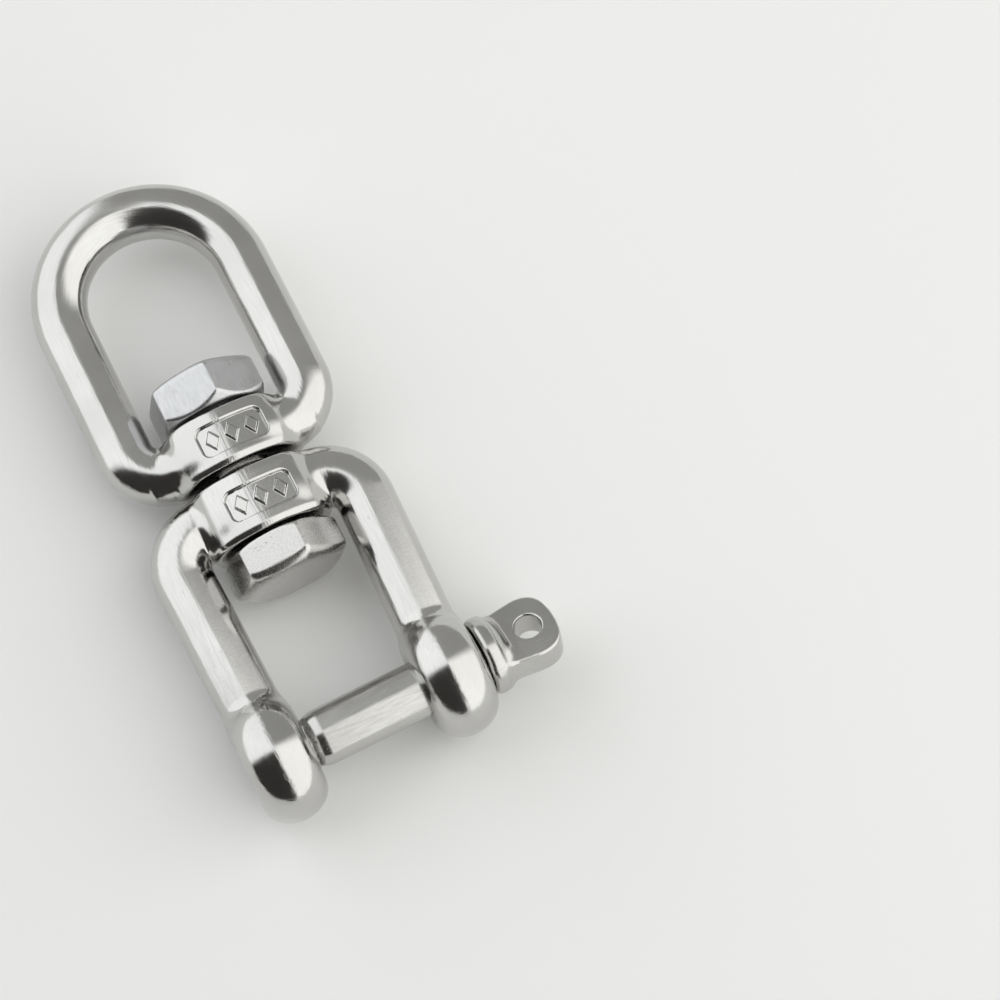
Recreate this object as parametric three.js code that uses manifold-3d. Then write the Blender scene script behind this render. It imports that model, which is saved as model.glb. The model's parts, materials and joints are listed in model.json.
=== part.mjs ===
// Jaw and eye anchor swivel, in millimetres.
//
// Two forged bodies turn end to end on one headed bolt: a closed eye and an open jaw. A screw pin
// closes the jaw across its two ears. The swivel lies on its back as it would on a bench.
//
// Swivel frame, used for all the dimensions below: the bolt's axis is Y, with the eye at +Y and the
// jaw at -Y, y = 0 in the gap between the two bosses. The screw pin's axis is parallel to X, with
// its head at +X. Z points up, out of the broad front of the part. The last lines shift the whole
// group so that the part's origin is the middle of its box at the level that it lies on.

import * as THREE from 'three';
import { mergeVertices } from 'three/addons/utils/BufferGeometryUtils.js';
import Module from 'manifold-3d';

const wasm = await Module();
wasm.setup();

// ---- driving dimensions ----

const GAP = 0.3;            // clearance between pieces that touch
const ROUND = 36;           // sides of turned parts
const BAR_SIDES = 20;       // sides of the round bars
const EYE_STEPS = 60;       // sections along the eye's loop
const ARM_STEPS = 26;       // sections along each arm of the jaw

const eye = {
  barRadius: 4.0,
  halfWidth: 13.7,          // swivel axis to the centre line of a leg
  baseY: 4.7,               // centre line of the bar across the boss
  crownY: 30.3,             // centre of the crown's half circle
  cornerRadius: 5.7,        // centre-line bend from the base into a leg
  bossLow: 0.4,
  bossHigh: 9.2,
};

const jaw = {
  barRadius: 4.25,
  shoulderHalfWidth: 13.95, // swivel axis to the leg's centre line at the shoulder
  earHalfWidth: 13.0,       // and at the ear
  baseY: -4.3,
  cornerRadius: 5.6,
  bossLow: -10.1,
  bossHigh: -0.4,
};

const ear = {
  radius: 9.0,
  faceRadius: 5.3,          // flat round the pin hole
  halfThickness: 4.6,
};

const boss = {
  frontZ: 7.6,              // crown of the slightly bulged front and back
  creaseX: 6.2,             // where the front ends and the round side begins
  creaseZ: 6.4,
  sideX: 9.0,
  rim: 0.8,                 // rounding of the top and bottom rims
  boreRadius: 4.3,
};

const web = {               // flare from the boss down to the round bar
  innerX: 5.6,
  outerX: 11.4,
  halfDepth: 6.2,           // along Z at the boss
};

const panel = {             // sunk panel on the front and back of each boss
  width: 9.6,
  height: 4.3,
  corner: 1.1,
  depth: 0.5,
  markCount: 3,
  markPitch: 2.7,
  markHalfWidth: 0.85,
  markHalfHeight: 1.2,
  markSink: 0.12,           // how far the raised marks stay below the boss's face
};

const hex = {
  acrossFlats: 15.2,
  nutTurn: 10,              // degrees that a corner is turned from +Z towards +X
  headTurn: 20,
  nutHeight: 6.7,
  headHeight: 6.1,
  nutTopRadius: 7.3,
  nutTopDrop: 1.1,          // height that the chamfer takes off the nut's top corners
  seatDrop: 0.6,            // and off the corners beside the boss, on nut and head
  headFaceRadius: 6.4,
  cornerRound: 2.3,         // height of the rounding on the head's outer edge
};

const bolt = {
  radius: 4.0,
  proud: 0.8,               // end of the bolt beyond the nut
};

const pin = {
  radius: 4.0,
  y: -38.0,
  tipX: -17.3,
  tipChamfer: 0.9,
  collarRadius: 5.5,
  collarThickness: 2.1,
  collarRound: 0.6,
  neckRadius: 4.3,
  neckLength: 1.5,
};

const plate = {             // flat eye plate on the pin's head
  neckWidth: 7.8,
  width: 10.6,
  length: 8.5,
  thickness: 4.2,
  corner: 2.2,
  bevel: 0.5,
  holeRadius: 2.1,
  holeReach: 4.0,           // from the end of the neck to the middle of the hole
  tilt: 25,                 // degrees that the plate's face leans from +Z towards +Y
};

const HEX_CORNER = hex.acrossFlats / Math.sqrt(3);   // swivel axis to a corner of nut or head

// ---- solids ----

// Closed geometry, moved by a matrix, as a solid that can be joined and cut.
function solidOf(geometry, matrix = new THREE.Matrix4()) {
  const bare = geometry.index ? geometry.toNonIndexed() : geometry.clone();
  bare.deleteAttribute('normal');
  bare.deleteAttribute('uv');
  bare.applyMatrix4(matrix);
  const welded = mergeVertices(bare, 1e-4);
  const mesh = new wasm.Mesh({
    numProp: 3,
    vertProperties: new Float32Array(welded.attributes.position.array),
    triVerts: new Uint32Array(welded.index.array),
  });
  mesh.merge();
  return new wasm.Manifold(mesh);
}

function geometryOf(solid) {
  const mesh = solid.getMesh();
  const geometry = new THREE.BufferGeometry();
  geometry.setAttribute('position', new THREE.BufferAttribute(mesh.vertProperties, 3));
  geometry.setIndex(new THREE.BufferAttribute(mesh.triVerts, 1));
  geometry.computeVertexNormals();
  return geometry;
}

const alongX = new THREE.Matrix4().makeRotationZ(-Math.PI / 2);

function moved(x, y, z) {
  return new THREE.Matrix4().makeTranslation(x, y, z);
}

// Turned solid about the Y axis. The profile is a list of [radius, y] from low to high.
function turned(profile, sides = ROUND) {
  const points = profile.map(([radius, y]) => new THREE.Vector2(radius, y));
  return new THREE.LatheGeometry(points, sides);
}

function rod(radius, low, high, sides = ROUND) {
  return turned([[0, low], [radius, low], [radius, high], [0, high]], sides);
}

// A flat path lifted into space, for round bars that bend in the XY plane.
class FlatPath extends THREE.Curve {
  constructor(path) {
    super();
    this.path = path;
  }

  getPoint(t) {
    const flat = this.path.getPoint(t);
    return new THREE.Vector3(flat.x, flat.y, 0);
  }
}

function bar(path, radius, steps) {
  const section = new THREE.Shape();
  section.absarc(0, 0, radius, 0, 2 * Math.PI);
  return new THREE.ExtrudeGeometry(section, {
    steps,
    extrudePath: new FlatPath(path),
    curveSegments: BAR_SIDES / 2,
    bevelEnabled: false,
  });
}

// Upright prism of an outline drawn in XZ, from low to high along Y.
function prismAlongY(outline, low, high, rim = 0) {
  const geometry = new THREE.ExtrudeGeometry(outline, {
    depth: high - low - 2 * rim,
    bevelEnabled: rim > 0,
    bevelThickness: rim,
    bevelSize: rim,
    bevelOffset: -rim,
    bevelSegments: 2,
    curveSegments: 16,
  });
  geometry.rotateX(Math.PI / 2);
  geometry.translate(0, high - rim, 0);
  return geometry;
}

// ---- the two bosses ----

// Boss seen along the swivel axis: slightly bulged front and back, round sides, with a crease
// between them. The inset moves the faces inwards.
function bossOutline(inset = 0) {
  const frontZ = boss.frontZ - inset;
  const sideX = boss.sideX - inset;
  const creaseX = boss.creaseX - inset / 2;
  const creaseZ = boss.creaseZ - inset;
  const sag = frontZ - creaseZ;
  const frontRadius = (creaseX ** 2 + sag ** 2) / (2 * sag);
  const frontCentre = frontZ - frontRadius;
  const frontAngle = Math.asin(creaseX / frontRadius);
  const sideCentre = (sideX ** 2 - creaseX ** 2 - creaseZ ** 2) / (2 * (sideX - creaseX));
  const sideRadius = sideX - sideCentre;
  const sideAngle = Math.atan2(creaseZ, creaseX - sideCentre);
  const quarter = Math.PI / 2;
  const outline = new THREE.Shape();
  outline.absarc(sideCentre, 0, sideRadius, -sideAngle, sideAngle);
  outline.absarc(0, frontCentre, frontRadius, quarter - frontAngle, quarter + frontAngle);
  outline.absarc(-sideCentre, 0, sideRadius, Math.PI - sideAngle, Math.PI + sideAngle);
  outline.absarc(0, -frontCentre, frontRadius, -quarter - frontAngle, -quarter + frontAngle);
  outline.closePath();
  return outline;
}

function roundedRectangle(width, height, corner) {
  const x = width / 2;
  const y = height / 2;
  const shape = new THREE.Shape();
  shape.absarc(x - corner, y - corner, corner, 0, Math.PI / 2);
  shape.absarc(-x + corner, y - corner, corner, Math.PI / 2, Math.PI);
  shape.absarc(-x + corner, -y + corner, corner, Math.PI, 1.5 * Math.PI);
  shape.absarc(x - corner, -y + corner, corner, 1.5 * Math.PI, 2 * Math.PI);
  shape.closePath();
  return shape;
}

function lozenge(halfWidth, halfHeight) {
  const corners = [[halfWidth, 0], [0, halfHeight], [-halfWidth, 0], [0, -halfHeight]];
  return new THREE.Shape(corners.map(([x, y]) => new THREE.Vector2(x, y)));
}

// Cutter for one sunk panel. It follows the bulge of the boss and leaves three plain lozenges
// standing in the panel.
function panelCutter(middleY, side) {
  const reach = boss.frontZ + 1;
  const frame = roundedRectangle(panel.width, panel.height, panel.corner);
  const through = { depth: reach, bevelEnabled: false, curveSegments: 2 };
  const place = moved(0, middleY, 0);
  const low = middleY - panel.height;
  const high = middleY + panel.height;
  let cutter = solidOf(new THREE.ExtrudeGeometry(frame, through), place)
    .subtract(solidOf(prismAlongY(bossOutline(panel.depth), low, high)));
  const face = solidOf(prismAlongY(bossOutline(panel.markSink), low, high));
  for (let i = 0; i < panel.markCount; i += 1) {
    const x = (i - (panel.markCount - 1) / 2) * panel.markPitch;
    const mark = new THREE.ExtrudeGeometry(lozenge(panel.markHalfWidth, panel.markHalfHeight), through);
    cutter = cutter.subtract(solidOf(mark, moved(x, middleY, 0)).intersect(face));
  }
  return side > 0 ? cutter : cutter.rotate([0, 180, 0]);
}

// Flare from the boss to the round bar on one side, flattened to the height of the boss.
function webFlare(side, middleY, halfHeight, barRadius) {
  const profile = [[0, web.innerX]];
  const steps = 6;
  for (let i = 0; i <= steps; i += 1) {
    const t = i / steps;
    const ease = t * t * (3 - 2 * t);
    const radius = web.halfDepth + (barRadius - web.halfDepth) * ease;
    profile.push([radius, web.innerX + (web.outerX - web.innerX) * t]);
  }
  profile.push([0, web.outerX]);
  const outward = new THREE.Matrix4().makeRotationZ(-side * Math.PI / 2);
  const flatten = new THREE.Matrix4().makeScale(1, halfHeight / web.halfDepth, 1);
  const place = moved(0, middleY, 0).multiply(flatten).multiply(outward);
  return solidOf(turned(profile, BAR_SIDES), place);
}

function withBoss(bars, low, high, barRadius) {
  const middle = (low + high) / 2;
  const bore = solidOf(rod(boss.boreRadius, low - 1, high + 1));
  const halfHeight = (high - low) / 2 - boss.rim;
  return bars
    .add(solidOf(prismAlongY(bossOutline(), low, high, boss.rim)))
    .add(webFlare(1, middle, halfHeight, barRadius))
    .add(webFlare(-1, middle, halfHeight, barRadius))
    .subtract(panelCutter(middle, 1))
    .subtract(panelCutter(middle, -1))
    .subtract(bore);
}

// ---- eye ----

function eyeBody() {
  const { halfWidth, cornerRadius, baseY, crownY } = eye;
  const quarter = Math.PI / 2;
  const bendX = halfWidth - cornerRadius;
  const bendY = baseY + cornerRadius;
  const path = new THREE.Path();
  path.moveTo(1, baseY);
  path.lineTo(bendX, baseY);
  path.absarc(bendX, bendY, cornerRadius, -quarter, 0);
  path.lineTo(halfWidth, crownY);
  path.absarc(0, crownY, halfWidth, 0, Math.PI);
  path.lineTo(-halfWidth, bendY);
  path.absarc(-bendX, bendY, cornerRadius, Math.PI, Math.PI + quarter);
  path.lineTo(-1, baseY);
  const loop = solidOf(bar(path, eye.barRadius, EYE_STEPS));
  return withBoss(loop, eye.bossLow, eye.bossHigh, eye.barRadius);
}

// ---- jaw ----

function jawArm(side) {
  const { shoulderHalfWidth, earHalfWidth, cornerRadius, baseY } = jaw;
  const bendX = shoulderHalfWidth - cornerRadius;
  const path = new THREE.Path();
  path.moveTo(side, baseY);
  path.lineTo(side * bendX, baseY);
  if (side > 0) {
    path.absarc(bendX, baseY - cornerRadius, cornerRadius, Math.PI / 2, 0, true);
  } else {
    path.absarc(-bendX, baseY - cornerRadius, cornerRadius, Math.PI / 2, Math.PI);
  }
  path.lineTo(side * earHalfWidth, pin.y);
  return solidOf(bar(path, jaw.barRadius, ARM_STEPS));
}

// Thick round ear with flat faces and a full round rim, drawn about Y and laid along X.
function earSolid(side) {
  const profile = [[0, -ear.halfThickness]];
  const rimSteps = 8;
  for (let i = 0; i <= rimSteps; i += 1) {
    const angle = Math.PI * (i / rimSteps - 0.5);
    const radius = ear.faceRadius + (ear.radius - ear.faceRadius) * Math.cos(angle);
    profile.push([radius, ear.halfThickness * Math.sin(angle)]);
  }
  profile.push([0, ear.halfThickness]);
  return solidOf(turned(profile), moved(side * jaw.earHalfWidth, pin.y, 0).multiply(alongX));
}

function jawBody() {
  const reach = jaw.earHalfWidth + ear.halfThickness + 1;
  const pinHole = rod(pin.radius + GAP, -reach, reach);
  const arms = jawArm(1).add(jawArm(-1)).add(earSolid(1)).add(earSolid(-1));
  return withBoss(arms, jaw.bossLow, jaw.bossHigh, jaw.barRadius)
    .subtract(solidOf(pinHole, moved(0, pin.y, 0).multiply(alongX)));
}

// ---- swivel bolt and nut ----

// Six-sided bar along Y with one corner turned by the given angle from +Z towards +X.
function hexBar(low, high, turn) {
  const geometry = new THREE.CylinderGeometry(HEX_CORNER, HEX_CORNER, high - low, 6);
  geometry.rotateY(THREE.MathUtils.degToRad(turn));
  geometry.translate(0, (low + high) / 2, 0);
  return solidOf(geometry);
}

function swivelBolt() {
  const seat = jaw.bossLow - GAP;
  const face = seat - hex.headHeight;
  const envelope = [[0, face]];
  const steps = 6;
  for (let i = 0; i <= steps; i += 1) {
    const angle = (i / steps) * (Math.PI / 2);
    envelope.push([
      hex.headFaceRadius + (HEX_CORNER - hex.headFaceRadius) * Math.sin(angle),
      face + hex.cornerRound * (1 - Math.cos(angle)),
    ]);
  }
  envelope.push([HEX_CORNER, seat - hex.seatDrop], [hex.acrossFlats / 2, seat], [0, seat]);
  const end = eye.bossHigh + GAP + hex.nutHeight + bolt.proud;
  const shank = turned([
    [0, seat - 1],
    [bolt.radius, seat - 1],
    [bolt.radius, end - bolt.proud],
    [bolt.radius - bolt.proud, end],
    [0, end],
  ]);
  return hexBar(face, seat, hex.headTurn)
    .intersect(solidOf(turned(envelope)))
    .add(solidOf(shank));
}

function swivelNut() {
  const seat = eye.bossHigh + GAP;
  const top = seat + hex.nutHeight;
  const envelope = turned([
    [0, seat],
    [hex.acrossFlats / 2, seat],
    [HEX_CORNER, seat + hex.seatDrop],
    [HEX_CORNER, top - hex.nutTopDrop],
    [hex.nutTopRadius, top],
    [0, top],
  ]);
  return hexBar(seat, top, hex.nutTurn)
    .intersect(solidOf(envelope))
    .subtract(solidOf(rod(bolt.radius + GAP, seat - 1, top + 1)));
}

// ---- screw pin ----

// Eye plate in its own plane, growing from the neck along X, with round outer corners.
function plateOutline() {
  const half = plate.width / 2;
  const neck = plate.neckWidth / 2;
  const { length, corner } = plate;
  const outline = new THREE.Shape();
  outline.moveTo(0, -neck);
  outline.lineTo(length - 2 * corner, -half);
  outline.lineTo(length - corner, -half);
  outline.absarc(length - corner, -half + corner, corner, -Math.PI / 2, 0);
  outline.absarc(length - corner, half - corner, corner, 0, Math.PI / 2);
  outline.lineTo(length - 2 * corner, half);
  outline.lineTo(0, neck);
  outline.closePath();
  return outline;
}

function screwPin() {
  const collarLow = jaw.earHalfWidth + ear.halfThickness + GAP;
  const collarHigh = collarLow + pin.collarThickness;
  const plateLow = collarHigh + pin.neckLength;
  const rounding = pin.collarRound;
  const turnedPart = turned([
    [0, pin.tipX],
    [pin.radius - pin.tipChamfer, pin.tipX],
    [pin.radius, pin.tipX + pin.tipChamfer],
    [pin.radius, collarLow],
    [pin.collarRadius - rounding, collarLow],
    [pin.collarRadius, collarLow + rounding],
    [pin.collarRadius, collarHigh - rounding],
    [pin.collarRadius - rounding, collarHigh],
    [pin.neckRadius, collarHigh + rounding],
    [pin.neckRadius - rounding, plateLow],
    [0, plateLow + plate.thickness / 2],
  ]);
  const { bevel } = plate;
  const flat = new THREE.ExtrudeGeometry(plateOutline(), {
    depth: plate.thickness - 2 * bevel,
    bevelEnabled: true,
    bevelThickness: bevel,
    bevelSize: bevel,
    bevelOffset: -bevel,
    bevelSegments: 2,
    curveSegments: 4,
  });
  flat.translate(plateLow - bevel, 0, bevel - plate.thickness / 2);
  const hole = rod(plate.holeRadius, -plate.thickness, plate.thickness, 24);
  hole.rotateX(Math.PI / 2);
  hole.translate(plateLow + plate.holeReach, 0, 0);
  const lean = moved(0, pin.y, 0)
    .multiply(new THREE.Matrix4().makeRotationX(-THREE.MathUtils.degToRad(plate.tilt)));
  return solidOf(turnedPart, moved(0, pin.y, 0).multiply(alongX))
    .add(solidOf(flat, lean))
    .subtract(solidOf(hole, lean));
}

// ---- the assembly ----

function steel(color, roughness) {
  return new THREE.MeshStandardMaterial({ color, roughness, metalness: 1 });
}

function piece(name, solid, material) {
  const mesh = new THREE.Mesh(geometryOf(solid), material);
  mesh.name = name;
  return mesh;
}

const swivel = new THREE.Group();
swivel.add(piece('eye_body', eyeBody(), steel(0xc9cac6, 0.18)));
swivel.add(piece('jaw_body', jawBody(), steel(0xc6c7c3, 0.18)));
swivel.add(piece('swivel_bolt', swivelBolt(), steel(0xb9bab6, 0.32)));
swivel.add(piece('swivel_nut', swivelNut(), steel(0xc3c8cc, 0.3)));
swivel.add(piece('screw_pin', screwPin(), steel(0xbdbdb8, 0.2)));

const box = new THREE.Box3().setFromObject(swivel);
const middle = box.getCenter(new THREE.Vector3());
swivel.position.set(-middle.x, -middle.y, -box.min.z);

const group = new THREE.Group();
group.add(swivel);

export default group;
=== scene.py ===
"""Looks of a jaw and eye anchor swivel in polished stainless steel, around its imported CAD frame.

Every visible piece is grown here as the zero surface of a distance function, so that forged
shapes flow into each other with real fillets. Shapes are written in millimetres in the swivel's
own frame: Y along the swivel bolt towards the eye, X along the screw pin towards its plate,
Z out of the broad front, and the origin on the bolt's axis in the gap between the two bosses.
"""

import json
import math

import bpy
import numpy as np
from mathutils import Matrix, Vector


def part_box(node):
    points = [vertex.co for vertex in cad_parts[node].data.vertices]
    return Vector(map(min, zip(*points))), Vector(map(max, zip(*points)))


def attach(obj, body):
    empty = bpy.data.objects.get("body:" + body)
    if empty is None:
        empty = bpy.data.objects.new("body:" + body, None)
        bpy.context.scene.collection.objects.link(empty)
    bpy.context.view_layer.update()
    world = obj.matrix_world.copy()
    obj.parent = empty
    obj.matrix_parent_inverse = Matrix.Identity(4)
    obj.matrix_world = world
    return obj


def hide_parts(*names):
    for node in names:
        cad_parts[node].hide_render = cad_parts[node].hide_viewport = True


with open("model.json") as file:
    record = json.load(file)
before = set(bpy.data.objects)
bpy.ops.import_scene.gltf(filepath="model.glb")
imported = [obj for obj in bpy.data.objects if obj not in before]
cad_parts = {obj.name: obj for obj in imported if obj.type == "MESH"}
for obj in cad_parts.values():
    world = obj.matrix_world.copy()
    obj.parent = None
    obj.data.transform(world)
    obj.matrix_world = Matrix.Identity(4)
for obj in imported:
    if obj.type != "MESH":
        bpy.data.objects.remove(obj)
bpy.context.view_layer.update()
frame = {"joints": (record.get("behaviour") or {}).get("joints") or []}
MM = 0.001

# ---- where the swivel's own frame lies in the part ----

joints = {joint["name"]: joint for joint in frame["joints"]}
swivel_axis = Vector(joints["eye_swivel"]["pos_m"])
eye_low, eye_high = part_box("eye_body")
jaw_low, jaw_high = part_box("jaw_body")
nut_low, nut_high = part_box("swivel_nut")
bolt_low, bolt_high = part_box("swivel_bolt")
pin_low, pin_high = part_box("screw_pin")
BOSS_CLEARANCE = 0.4
ORIGIN = Vector((swivel_axis.x, eye_low.y - BOSS_CLEARANCE * MM, swivel_axis.z))


def local_y(value):
    """A height along the swivel bolt, in millimetres from the gap."""
    return (value - ORIGIN.y) / MM


def local_x(value):
    return (value - ORIGIN.x) / MM


# ---- sizes in millimetres, the frame's boxes first ----

EYE_BAR = 4.0
EYE_HALF_WIDTH = local_x(eye_high.x) - EYE_BAR
EYE_CROWN = local_y(eye_high.y) - EYE_BAR
EYE_BASE = 4.7
EYE_CORNER = 5.7
EYE_BOSS = (BOSS_CLEARANCE, 9.2)

JAW_BAR = 4.25
JAW_HALF_WIDTH = local_x(jaw_high.x) - JAW_BAR
JAW_BASE = -4.3
JAW_CORNER = 5.6
JAW_BOSS = (-10.1, -BOSS_CLEARANCE)
JAW_TOP = local_y(jaw_high.y)

EAR_RADIUS = 9.0
EAR_FLAT = 5.3
EAR_HALF_THICKNESS = 4.6
EAR_X = 13.0
PIN_Y = local_y(jaw_low.y) + EAR_RADIUS

BOSS_FRONT = 7.6
BOSS_CREASE = (6.2, 6.4)
BOSS_SIDE = 9.0
BOSS_RIM = 1.3
BORE = 4.3
SEAT_RADIUS = 8.95
SEAT_LENGTH = 8.0
WEB_START = 5.6
WEB_DEPTH = 6.2
WEB_ROUNDNESS = 2.6
EYE_WEB_END = 12.0
JAW_WEB_END = 9.8
LEG_REACH = 30.0
LEG_LEAN_LENGTH = 28.0

PANEL_HALF = (4.8, 2.15)
PANEL_CORNER = 1.1
PANEL_DEPTH = 0.5
EYE_PANEL_SHIFT = 0.8
JAW_PANEL_SHIFT = 0.4
MARK_HALF = (0.95, 1.4)
MARK_PITCH = 2.95
MARK_SINK = 0.2

BOLT_RADIUS = 4.0
HEX_FLATS = 15.2
HEAD_FACE = local_y(bolt_low.y)
HEAD_SEAT = JAW_BOSS[0] - 0.3
BOLT_END = local_y(bolt_high.y)
NUT_SEAT = local_y(nut_low.y)
NUT_TOP = local_y(nut_high.y)
HEAD_TURN = 20.0
NUT_TURN = 10.0
HEX_CORNER = 0.35

PIN_RADIUS = 4.0
PIN_TIP = local_x(pin_low.x)
PLATE_TIP = local_x(pin_high.x)
COLLAR = (17.9, 20.0)
COLLAR_RADIUS = 5.5
NECK_RADIUS = 5.0
NECK_TAPER = 0.75
PLATE_END_RADIUS = 11.0
PLATE_LEAN = 25.0
PLATE_HALF = (4.5, 5.5)
PLATE_WIDEST = 27.6
PLATE_THICKNESS = 4.2
HOLE_X = 25.5
HOLE_RADIUS = 1.95
PITCH = 1.25
THREAD_DEPTH = 0.55
THREAD_SHARPNESS = 2.2
RUNOUT_DEPTH = 0.55
RUNOUT_START = 2.4
RUNOUT_LENGTH = 2.2
EAR_CHAMFER = 0.9
EAR_CLEARANCE = 0.15
EAR_THREAD_DEPTH = 0.35


# ---- joining and cutting distances ----

def joined(a, b, soft):
    """Both shapes, with a fillet about as large as soft where they meet."""
    mix = np.clip(0.5 + 0.5 * (b - a) / soft, 0.0, 1.0)
    return b * (1 - mix) + a * mix - soft * mix * (1 - mix)


def common(a, b, soft):
    """What both shapes share, with its new edge rounded."""
    return -joined(-a, -b, soft)


def cut(a, b, soft):
    """Shape a without shape b, with the cut's edge rounded."""
    return common(a, -b, soft)


def slab(value, low, high):
    return np.abs(value - (low + high) / 2) - (high - low) / 2


def rectangle(x, y, half_x, half_y, corner):
    """Flat rectangle with round corners. corner may differ from point to point."""
    qx = np.abs(x) - half_x + corner
    qy = np.abs(y) - half_y + corner
    outside = np.hypot(np.maximum(qx, 0), np.maximum(qy, 0))
    return np.minimum(np.maximum(qx, qy), 0) + outside - corner


def hexagon(x, z, flats, turn):
    """Six-sided bar about Y, one corner turned from +Z towards +X, with softened edges."""
    edge = None
    for side in range(3):
        angle = math.radians(turn + 30 + 60 * side)
        face = np.abs(x * math.sin(angle) + z * math.cos(angle)) - flats / 2
        edge = face if edge is None else common(edge, face, HEX_CORNER)
    return edge


# ---- the bosses ----

def boss_front(x, z):
    """Distance to the slightly bulged front and back faces."""
    crease_x, crease_z = BOSS_CREASE
    sag = BOSS_FRONT - crease_z
    radius = (crease_x ** 2 + sag ** 2) / (2 * sag)
    return np.hypot(x, np.abs(z) + radius - BOSS_FRONT) - radius


def boss(x, y, z, low, high):
    crease_x, crease_z = BOSS_CREASE
    centre = (BOSS_SIDE ** 2 - crease_x ** 2 - crease_z ** 2) / (2 * (BOSS_SIDE - crease_x))
    side = np.hypot(np.abs(x) - centre, z) - (BOSS_SIDE - centre)
    outline = common(boss_front(x, z), side, 0.6)
    return common(outline, slab(y, low, high), BOSS_RIM)


def web(x, y, z, low, high, bar, end):
    """Flare that carries the boss out into the round bar on both sides, and ends inside the bar."""
    t = np.clip((np.abs(x) - WEB_START) / (end - WEB_START), 0.0, 1.0)
    ease = t * t * (3 - 2 * t)
    deep = WEB_DEPTH + (0.65 * bar - WEB_DEPTH) * ease
    tall = ((high - low) / 2 - 0.8) * (1 - 0.35 * ease)
    up = (y - (low + high) / 2) / tall
    ring = (np.abs(z / deep) ** WEB_ROUNDNESS + np.abs(up) ** WEB_ROUNDNESS) ** (1 / WEB_ROUNDNESS)
    return np.maximum((ring - 1) * np.minimum(deep, tall), np.abs(x) - end)


def panel(body, x, y, z, middle, shift):
    """Sunk panel on the front and back of a boss, with three plain raised lozenges in it."""
    x = x - shift
    y = y - middle
    front = boss_front(x + shift, z)
    outline = rectangle(x, y, *PANEL_HALF, PANEL_CORNER)
    body = cut(body, np.maximum(outline, -(front + PANEL_DEPTH)), 0.35)
    wide, tall = MARK_HALF
    slope = wide * tall / math.hypot(wide, tall)
    for place in (-MARK_PITCH, 0.0, MARK_PITCH):
        lozenge = (np.abs(x - place) / wide + np.abs(y) / tall - 1) * slope
        mark = common(lozenge, front + MARK_SINK, 0.12)
        body = joined(body, np.maximum(mark, -(front + 2 * PANEL_DEPTH)), 0.2)
    return body


def bore(body, x, y, z, low, high):
    """Hole for the bolt, through the boss only."""
    return cut(body, np.maximum(np.hypot(x, z) - BORE, slab(y, low - 2, high + 2)), 0.5)


# ---- the five pieces ----

def eye_shape(x, y, z):
    low, high = EYE_BOSS
    arch_y = EYE_CROWN - EYE_HALF_WIDTH
    arch = np.hypot(x, y - arch_y) - EYE_HALF_WIDTH
    straight = rectangle(x, y - EYE_BASE - LEG_REACH, EYE_HALF_WIDTH, LEG_REACH, EYE_CORNER)
    loop = np.where(y > arch_y, arch, straight)
    body = np.hypot(loop, z) - EYE_BAR
    body = joined(body, web(x, y, z, low, high, EYE_BAR, EYE_WEB_END), 1.3)
    body = joined(body, boss(x, y, z, low, high), 1.2)
    seat = np.maximum(np.hypot(x, z) - SEAT_RADIUS, slab(y, high, high + SEAT_LENGTH))
    body = cut(body, seat, 0.5)
    body = common(body, low - y, 0.5)
    body = panel(body, x, y, z, (low + high) / 2, EYE_PANEL_SHIFT)
    return bore(body, x, y, z, low, high)


def jaw_shape(x, y, z):
    low, high = JAW_BOSS
    lean = (JAW_HALF_WIDTH - EAR_X) * np.clip((JAW_BASE - JAW_CORNER - y) / LEG_LEAN_LENGTH, 0.0, 1.0)
    corner = np.where(y > JAW_BASE - LEG_REACH, JAW_CORNER, 0.0)
    fork = rectangle(np.abs(x) + lean, y - JAW_BASE + LEG_REACH, JAW_HALF_WIDTH, LEG_REACH, corner)
    body = np.maximum(np.hypot(fork, z) - JAW_BAR, PIN_Y - y)
    body = joined(body, web(x, y, z, low, high, JAW_BAR, JAW_WEB_END), 1.3)
    body = joined(body, boss(x, y, z, low, high), 1.0)
    seat = np.maximum(np.hypot(x, z) - SEAT_RADIUS, slab(y, low - SEAT_LENGTH, low))
    body = cut(body, seat, 0.5)
    body = common(body, y - JAW_TOP, 0.3)
    body = panel(body, x, y, z, (low + high) / 2, JAW_PANEL_SHIFT)
    body = bore(body, x, y, z, low, high)
    body = joined(body, ears(x, y, z), 1.1)
    across = np.hypot(y - PIN_Y, z)
    thread = np.where(x < 0, thread_wave(x, y - PIN_Y, z), 0.0)
    mouth = np.clip(EAR_CHAMFER - (np.abs(x) - EAR_X + EAR_HALF_THICKNESS), 0.0, EAR_CHAMFER)
    hole = across - PIN_RADIUS - EAR_CLEARANCE - EAR_THREAD_DEPTH * thread - mouth
    return cut(body, hole, 0.4)


def ears(x, y, z):
    """Thick round ears with flat faces and full round rims."""
    along = np.abs(x) - EAR_X
    across = np.hypot(y - PIN_Y, z)
    rim = EAR_RADIUS - EAR_FLAT
    out = np.maximum(across - EAR_FLAT, 0.0)
    near = np.hypot(out / rim, along / EAR_HALF_THICKNESS)
    steep = np.hypot(out / rim ** 2, along / EAR_HALF_THICKNESS ** 2)
    return near * (near - 1) / np.maximum(steep, 1e-6)


def thread_wave(x, y, z):
    """0 to 1 across one turn of a right-hand thread about X."""
    turn = x / PITCH - np.arctan2(z, y) / (2 * math.pi)
    triangle = np.abs(2 * (turn - np.floor(turn)) - 1)
    return np.clip(THREAD_SHARPNESS * triangle - (THREAD_SHARPNESS - 1) / 2, 0.0, 1.0)


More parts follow.
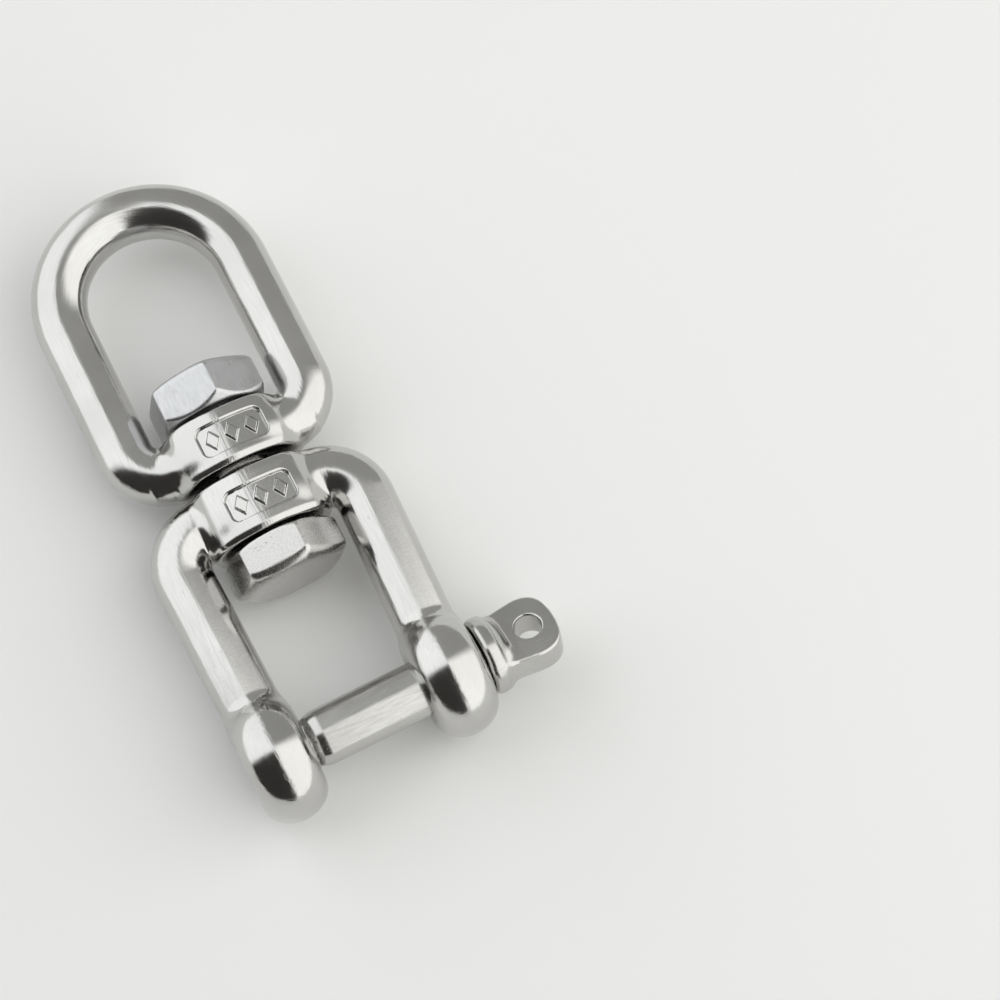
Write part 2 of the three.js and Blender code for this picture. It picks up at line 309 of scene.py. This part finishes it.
def bolt_shape(x, y, z):
    across = np.hypot(x, z)
    head = common(hexagon(x, z, HEX_FLATS, HEAD_TURN), HEAD_FACE - y, 1.7)
    head = common(head, (across - 7.1 - 1.5 * (y - HEAD_FACE)) * 0.55, 0.8)
    head = common(head, (across - 7.5 - 1.7 * (HEAD_SEAT - y)) * 0.5, 0.3)
    head = common(head, y - HEAD_SEAT, 0.3)
    shank = common(across - BOLT_RADIUS, slab(y, HEAD_SEAT - 1, BOLT_END), 0.9)
    return joined(head, shank, 0.4)


def nut_shape(x, y, z):
    across = np.hypot(x, z)
    nut = common(hexagon(x, z, HEX_FLATS, NUT_TURN), y - NUT_TOP, 1.4)
    nut = common(nut, (across - 7.4 - 1.7 * (NUT_TOP - y)) * 0.5, 0.5)
    nut = common(nut, (across - 7.4 - 1.1 * (y - NUT_SEAT)) * 0.65, 0.3)
    nut = common(nut, NUT_SEAT - y, 0.3)
    return cut(nut, across - BOLT_RADIUS - 0.08, 0.6)


def pin_shape(x, y, z):
    y = y - PIN_Y
    across = np.hypot(y, z)
    inner_ear = EAR_HALF_THICKNESS - EAR_X
    t = np.clip((inner_ear + RUNOUT_START - x) / RUNOUT_LENGTH, 0.0, 1.0)
    taper = RUNOUT_DEPTH * t * t
    thread = np.where(x < inner_ear - 0.4, THREAD_DEPTH * (1 - thread_wave(x, y, z)) - 0.5, 0.0)
    shank = across - PIN_RADIUS + taper + thread
    shank = common(shank, slab(x, PIN_TIP, COLLAR[1]), 0.9)
    collar = common(across - COLLAR_RADIUS, slab(x, *COLLAR), 1.1)
    head = joined(shank, collar, 0.5)
    lean = math.radians(PLATE_LEAN)
    flat_y = y * math.cos(lean) - z * math.sin(lean)
    flat_z = y * math.sin(lean) + z * math.cos(lean)
    reach = (x - COLLAR[1]) / (PLATE_WIDEST - COLLAR[1])
    half = PLATE_HALF[0] + (PLATE_HALF[1] - PLATE_HALF[0]) * reach
    end = np.hypot(x - PLATE_TIP + PLATE_END_RADIUS, flat_y) - PLATE_END_RADIUS
    outline = common((np.abs(flat_y) - half) * 0.98, end, 3.0)
    outline = common(outline, COLLAR[0] + 0.5 - x, 0.5)
    plate = common(outline, np.abs(flat_z) - PLATE_THICKNESS / 2, 0.55)
    narrow = NECK_RADIUS - NECK_TAPER * np.clip(x - COLLAR[1], 0.0, 2.0)
    neck = common(across - narrow, slab(x, COLLAR[0] + 0.5, COLLAR[1] + 1.6), 1.0)
    neck = joined(neck, plate, 1.6)
    neck = cut(neck, np.hypot(x - HOLE_X, flat_y) - HOLE_RADIUS, 0.35)
    return joined(head, neck, 1.0)


# ---- which way the metal's grain runs: two measures across it and one along it, in millimetres ----

def eye_grain(x, y, z):
    arch_y = EYE_CROWN - EYE_HALF_WIDTH
    side = np.abs(x)
    round_crown = EYE_HALF_WIDTH * np.arctan2(side, y - arch_y)
    down_leg = EYE_HALF_WIDTH * math.pi / 2 + arch_y - y
    towards_boss = (EYE_HALF_WIDTH - side) * np.clip((EYE_BASE + EYE_CORNER - y) / EYE_CORNER, 0.0, 1.0)
    along = np.where(y > arch_y, round_crown, down_leg + towards_boss)
    across = np.where(y > arch_y, np.hypot(x, y - arch_y), side)
    return across + 0.1 * x, z, along


def jaw_grain(x, y, z):
    side = np.abs(x)
    bend = JAW_BASE - JAW_CORNER
    towards_boss = (JAW_HALF_WIDTH - side) * np.clip((y - bend) / JAW_CORNER, 0.0, 1.0)
    return side + 0.1 * x, z, towards_boss - y


def bolt_grain(x, y, z):
    return x, z, y


def pin_grain(x, y, z):
    return y, z, x


# ---- from a distance function to a mesh ----

def gradient(shape, points, reach=0.01):
    """Slope of the distance at each point."""
    slope = np.empty_like(points)
    for axis in range(3):
        step = np.zeros(3)
        step[axis] = reach
        ahead = shape(*(points + step).T)
        behind = shape(*(points - step).T)
        slope[:, axis] = (ahead - behind) / (2 * reach)
    return slope


def settle(shape, points, passes):
    """Moves points onto the surface along its slope."""
    for _ in range(passes):
        slope = gradient(shape, points)
        size = np.maximum((slope ** 2).sum(1), 0.05)
        distance = np.clip(shape(*points.T), -0.15, 0.15)
        points = points - slope * (distance / size)[:, None]
    return points


NO_FINE = ((0, 0), (0, 0), (0, 0))
SETTLING_PASSES = 4


def ticks(low, high, step, fine):
    """Grid planes along one axis, twice as close together inside the fine range."""
    start, end = fine
    planes = [low - 2 * step]
    while planes[-1] < high + 2 * step:
        near = start < planes[-1] < end
        planes.append(planes[-1] + (step / 2 if near else step))
    return np.array(planes)


def grow(shape, low, high, step, fine):
    """Vertices and quads of the shape's surface inside the box from low to high."""
    axes = [ticks(a, b, step, span) for a, b, span in zip(low, high, fine)]
    x, y, z = np.meshgrid(*axes, indexing="ij", sparse=True)
    solid = shape(x, y, z).astype(np.float32)
    inside = solid < 0
    size = np.array(inside.shape) - 1
    count = np.zeros(size, np.int8)
    corners = [(i, j, k) for i in (0, 1) for j in (0, 1) for k in (0, 1)]
    for i, j, k in corners:
        count += inside[i:size[0] + i, j:size[1] + j, k:size[2] + k]
    active = np.argwhere((count > 0) & (count < 8))
    values = {c: solid[tuple((active + c).T)] for c in corners}
    total = np.zeros((len(active), 3))
    hits = np.zeros(len(active))
    for start in corners:
        for axis in range(3):
            if start[axis]:
                continue
            end = tuple(c + (n == axis) for n, c in enumerate(start))
            crosses = (values[start] < 0) != (values[end] < 0)
            share = np.where(crosses, values[start] / (values[start] - values[end] + 1e-12), 0)
            spot = np.array(start, float) + np.outer(share, np.eye(3)[axis])
            total += np.where(crosses[:, None], spot, 0)
            hits += crosses
    cells = (active + total / hits[:, None]).T
    places = [np.interp(cell, np.arange(len(axis)), axis) for cell, axis in zip(cells, axes)]
    points = np.stack(places, 1)
    index = np.full(size, -1, np.int32)
    index[tuple(active.T)] = np.arange(len(active))
    quads = []
    for axis in range(3):
        first = np.take(inside, np.arange(size[axis]), axis)
        second = np.take(inside, np.arange(1, size[axis] + 1), axis)
        for leaving, order in ((first & ~second, 1), (second & ~first, -1)):
            edges = np.argwhere(leaving)
            around = ((-1, -1), (0, -1), (0, 0), (-1, 0))
            ring = [ring_cell(index, edges, axis, a, b) for a, b in around]
            quads.append(np.stack(ring, 1)[:, ::order])
    return settle(shape, points, SETTLING_PASSES), np.concatenate(quads)


def ring_cell(index, edges, axis, step_a, step_b):
    """Numbers of the cells on one side of edges that run along an axis."""
    cell = edges.copy()
    cell[:, (axis + 1) % 3] += step_a
    cell[:, (axis + 2) % 3] += step_b
    return index[tuple(cell.T)]


def piece(name, node, body, shape, grain, material, step, fine=NO_FINE):
    """One visible piece: grown from its shape, riding on its body in place of its CAD node."""
    low, high = [[c / MM for c in corner - ORIGIN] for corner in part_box(node)]
    points, quads = grow(shape, low, high, step, fine)
    normals = gradient(shape, points)
    normals /= np.linalg.norm(normals, axis=1)[:, None]
    mesh = bpy.data.meshes.new(name)
    mesh.from_pydata((points * MM + np.array(ORIGIN)).tolist(), [], quads.tolist())
    mesh.update()
    mesh.shade_smooth()
    mesh.normals_split_custom_set_from_vertices(normals.tolist())
    flow = mesh.attributes.new("grain", "FLOAT_VECTOR", "POINT")
    flow.data.foreach_set("vector", np.stack(grain(*points.T), 1).astype(np.float32).ravel())
    mesh.materials.append(material)
    obj = bpy.data.objects.new(name, mesh)
    bpy.context.scene.collection.objects.link(obj)
    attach(obj, body)
    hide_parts(node)


# ---- steel ----

class Nodes:
    """Short ways to add shader nodes to one node tree."""

    def __init__(self, tree):
        self.tree = tree

    def add(self, kind, settings=(), **inputs):
        node = self.tree.nodes.new("ShaderNode" + kind)
        for key, value in dict(settings).items():
            setattr(node, key, value)
        for key, value in inputs.items():
            self.feed(node.inputs[key.replace("_", " ")], value)
        return node

    def feed(self, socket, value):
        if isinstance(value, bpy.types.NodeSocket):
            self.tree.links.new(value, socket)
        else:
            socket.default_value = value

    def math(self, operation, a, b=0.0):
        node = self.add("Math", {"operation": operation})
        self.feed(node.inputs[0], a)
        self.feed(node.inputs[1], b)
        return node.outputs[0]

    def noise(self, vector, scale, detail=2.0):
        return self.add("TexNoise", Vector=vector, Scale=scale, Detail=detail).outputs["Fac"]

    def ramp(self, value, low, high, start, end, smooth=False):
        """Value from low..high carried to start..end, and held there outside."""
        kind = "SMOOTHSTEP" if smooth else "LINEAR"
        node = self.add("MapRange", {"interpolation_type": kind}, Value=value)
        for key, number in (("From Min", low), ("From Max", high), ("To Min", start), ("To Max", end)):
            node.inputs[key].default_value = number
        return node.outputs["Result"]

    def mix(self, factor, a, b):
        node = self.add("Mix", {"data_type": "RGBA"})
        self.feed(node.inputs["Factor"], factor)
        for key, colour in (("A", a), ("B", b)):
            socket = [i for i in node.inputs if i.name == key and i.type == "RGBA"][0]
            self.feed(socket, colour if isinstance(colour, bpy.types.NodeSocket) else (*colour, 1))
        return [o for o in node.outputs if o.type == "RGBA"][0]


def steel(name, colour, roughness, run, streaks, peel, pits, grit):
    """Stainless steel, ground along its grain.

    run is how many times longer than wide a streak is. The last four are heights of relief in
    millimetres: ground streaks, soft orange peel, small pits and fine grit.
    """
    material = bpy.data.materials.new(name)
    material.use_nodes = True
    nodes = Nodes(material.node_tree)
    shader = material.node_tree.nodes["Principled BSDF"]
    flow = nodes.add("Attribute", {"attribute_name": "grain"}).outputs["Vector"]
    fine_flow = nodes.add("Mapping", Vector=flow, Scale=(4.5, 4.5, 4.5 / run)).outputs["Vector"]
    broad_flow = nodes.add("Mapping", Vector=flow, Scale=(1.1, 1.1, 1.1 / run)).outputs["Vector"]
    fine = nodes.noise(fine_flow, 1.0, 3.0)
    broad = nodes.noise(broad_flow, 1.0, 2.0)
    place = nodes.add("TexCoord").outputs["Object"]
    cloud = nodes.noise(place, 90.0, 3.0)
    skin = nodes.noise(place, 650.0, 2.0)
    grains = nodes.noise(place, 2600.0, 2.0)
    spots = nodes.ramp(nodes.noise(place, 2400.0, 1.0), 0.62, 0.72, 0.0, 1.0, smooth=True)
    patches = nodes.ramp(nodes.noise(place, 160.0, 1.0), 0.58, 0.66, 0.0, 1.0, smooth=True)
    pitted = nodes.math("MULTIPLY", spots, patches)

    light = tuple(min(1.0, 1.05 * c) for c in colour)
    dark = tuple(0.9 * c for c in colour)
    tone = nodes.mix(nodes.ramp(cloud, 0.3, 0.7, 0.0, 1.0), dark, light)
    worn = nodes.mix(nodes.ramp(fine, 0.35, 0.65, 0.0, 0.35), tone, dark)
    stained = nodes.mix(nodes.math("MULTIPLY", pitted, 0.35), worn, dark)
    nodes.feed(shader.inputs["Base Color"], stained)
    shader.inputs["Metallic"].default_value = 1
    polish = nodes.ramp(cloud, 0.3, 0.7, 0.8 * roughness, 1.25 * roughness)
    brushed = nodes.math("ADD", polish, nodes.ramp(fine, 0.4, 0.7, 0.0, 0.5 * roughness))
    dulled = nodes.math("ADD", brushed, nodes.math("MULTIPLY", pitted, 0.1))
    nodes.feed(shader.inputs["Roughness"], dulled)

    normal = None
    reliefs = ((fine, streaks), (broad, 3 * streaks), (skin, peel), (pitted, -pits), (grains, grit))
    for height, relief in reliefs:
        if relief == 0:
            continue
        bump = nodes.add("Bump", Height=height, Distance=relief * MM)
        if normal:
            nodes.feed(bump.inputs["Normal"], normal)
        normal = bump.outputs["Normal"]
    nodes.feed(shader.inputs["Normal"], normal)
    return material


eye_steel = steel("eye_steel", (0.585, 0.58, 0.565), 0.12, 14, 0.012, 0.004, 0.003, 0.003)
jaw_steel = steel("jaw_steel", (0.585, 0.58, 0.565), 0.12, 14, 0.012, 0.004, 0.0, 0.003)
bolt_steel = steel("bolt_steel", (0.60, 0.59, 0.575), 0.2, 1, 0.001, 0.012, 0.01, 0.005)
nut_steel = steel("nut_steel", (0.58, 0.585, 0.59), 0.28, 6, 0.0015, 0.002, 0.0, 0.001)
pin_steel = steel("pin_steel", (0.56, 0.555, 0.54), 0.18, 12, 0.005, 0.002, 0.0, 0.003)

EYE_FINE = ((-5.5, 6.1), (2, 7.6), (0, 0))
JAW_FINE = ((-5.5, 6.1), (-8.1, -2.4), (0, 0))
piece("eye", "eye_body", "eye", eye_shape, eye_grain, eye_steel, 0.26, EYE_FINE)
piece("jaw", "jaw_body", "jaw", jaw_shape, jaw_grain, jaw_steel, 0.28, JAW_FINE)
piece("bolt", "swivel_bolt", "bolt", bolt_shape, bolt_grain, bolt_steel, 0.2)
piece("nut", "swivel_nut", "bolt", nut_shape, bolt_grain, nut_steel, 0.2)
piece("pin", "screw_pin", "pin", pin_shape, pin_grain, pin_steel, 0.17)


# ---- floor, studio and camera ----

def staged(name, vertices, faces, material):
    """Mesh that stages the part and isn't a piece of it."""
    mesh = bpy.data.meshes.new(name)
    mesh.from_pydata(vertices, [], faces)
    mesh.materials.append(material)
    obj = bpy.data.objects.new(name, mesh)
    bpy.context.scene.collection.objects.link(obj)
    return obj


def paper_floor():
    """Plain pale sheet that the part lies on."""
    material = bpy.data.materials.new("paper")
    material.use_nodes = True
    shader = material.node_tree.nodes["Principled BSDF"]
    shader.inputs["Base Color"].default_value = (0.92, 0.92, 0.91, 1)
    shader.inputs["Roughness"].default_value = 0.9
    shader.inputs["Specular IOR Level"].default_value = 0.1
    reach = 3
    corners = [(-reach, -reach, 0), (reach, -reach, 0), (reach, reach, 0), (-reach, reach, 0)]
    staged("floor", corners, [(0, 1, 2, 3)], material)


TENT_RADIUS = 0.9
LEFT_LIGHT = (1.42, 1.44, 1.45)
RIGHT_LIGHT = (1.55, 1.55, 1.52)
BACK_WALL = (0.42, 0.42, 0.41)
FRONT_OPENING = (0.05, 0.047, 0.044)
ROOM_GLOW = (0.85, 0.85, 0.84)


def tent_material():
    """Plain light tent: white on the left and right, grey at the back, and open at the front."""
    material = bpy.data.materials.new("tent")
    material.use_nodes = True
    nodes = Nodes(material.node_tree)
    shader = material.node_tree.nodes["Principled BSDF"]
    direction = nodes.add("VectorMath", {"operation": "NORMALIZE"})
    nodes.feed(direction.inputs[0], nodes.add("TexCoord").outputs["Object"])
    x, y, _ = nodes.add("SeparateXYZ", Vector=direction.outputs[0]).outputs
    to_right = nodes.ramp(x, -0.1, 0.06, 0.0, 1.0, smooth=True)
    to_left_light = nodes.ramp(y, 0.0, 0.16, 0.0, 1.0, smooth=True)
    to_back_wall = nodes.ramp(y, 0.06, 0.3, 0.0, 1.0, smooth=True)
    left_half = nodes.mix(to_left_light, FRONT_OPENING, LEFT_LIGHT)
    right_half = nodes.mix(to_back_wall, RIGHT_LIGHT, BACK_WALL)
    shader.inputs["Base Color"].default_value = (0, 0, 0, 1)
    shader.inputs["Specular IOR Level"].default_value = 0
    nodes.feed(shader.inputs["Emission Color"], nodes.mix(to_right, left_half, right_half))
    shader.inputs["Emission Strength"].default_value = 1
    return material


def light_tent():
    """Dome over the part and its only lamp. The camera looks through it."""
    radius = TENT_RADIUS
    rings = 12
    sides = 32
    vertices = [(0, 0, radius)]
    for ring in range(1, rings + 1):
        polar = ring / rings * math.pi / 2
        for side in range(sides):
            turn = 2 * math.pi * side / sides
            flat = radius * math.sin(polar)
            vertices.append((flat * math.cos(turn), flat * math.sin(turn), radius * math.cos(polar)))
    faces = [(0, 1 + (side + 1) % sides, 1 + side) for side in range(sides)]
    for ring in range(rings - 1):
        start = 1 + ring * sides
        for side in range(sides):
            after = (side + 1) % sides
            faces.append((start + side, start + after, start + sides + after, start + sides + side))
    tent = staged("light_tent", vertices, faces, tent_material())
    tent.visible_camera = False


paper_floor()
light_tent()

AZIMUTH = math.radians(-37.4)
ELEVATION = math.radians(73.54)
ROLL = math.radians(10.5)
DISTANCE = 0.2826
SENSOR = 36
LENS = 71.77
AIM = ORIGIN + Vector((30.8, -18.87, 0)) * MM
camera_data = bpy.data.cameras.new("camera")
camera_data.sensor_width = SENSOR
camera_data.lens = LENS
camera = bpy.data.objects.new("camera", camera_data)
bpy.context.scene.collection.objects.link(camera)
flat = math.cos(ELEVATION)
back = Vector((math.sin(AZIMUTH) * flat, -math.cos(AZIMUTH) * flat, math.sin(ELEVATION)))
level = Vector((math.cos(AZIMUTH), math.sin(AZIMUTH), 0))
upright = back.cross(level)
right = level * math.cos(ROLL) + upright * math.sin(ROLL)
up = back.cross(right)
camera.matrix_world = Matrix((
    (right.x, up.x, back.x, 0), (right.y, up.y, back.y, 0), (right.z, up.z, back.z, 0), (0, 0, 0, 1)))
camera.location = AIM + back * DISTANCE
bpy.context.scene.camera = camera

world = bpy.data.worlds.new("world")
world.use_nodes = True
world.node_tree.nodes["Background"].inputs["Color"].default_value = (*ROOM_GLOW, 1)
bpy.context.scene.world = world
bpy.context.scene.view_settings.view_transform = "Standard"
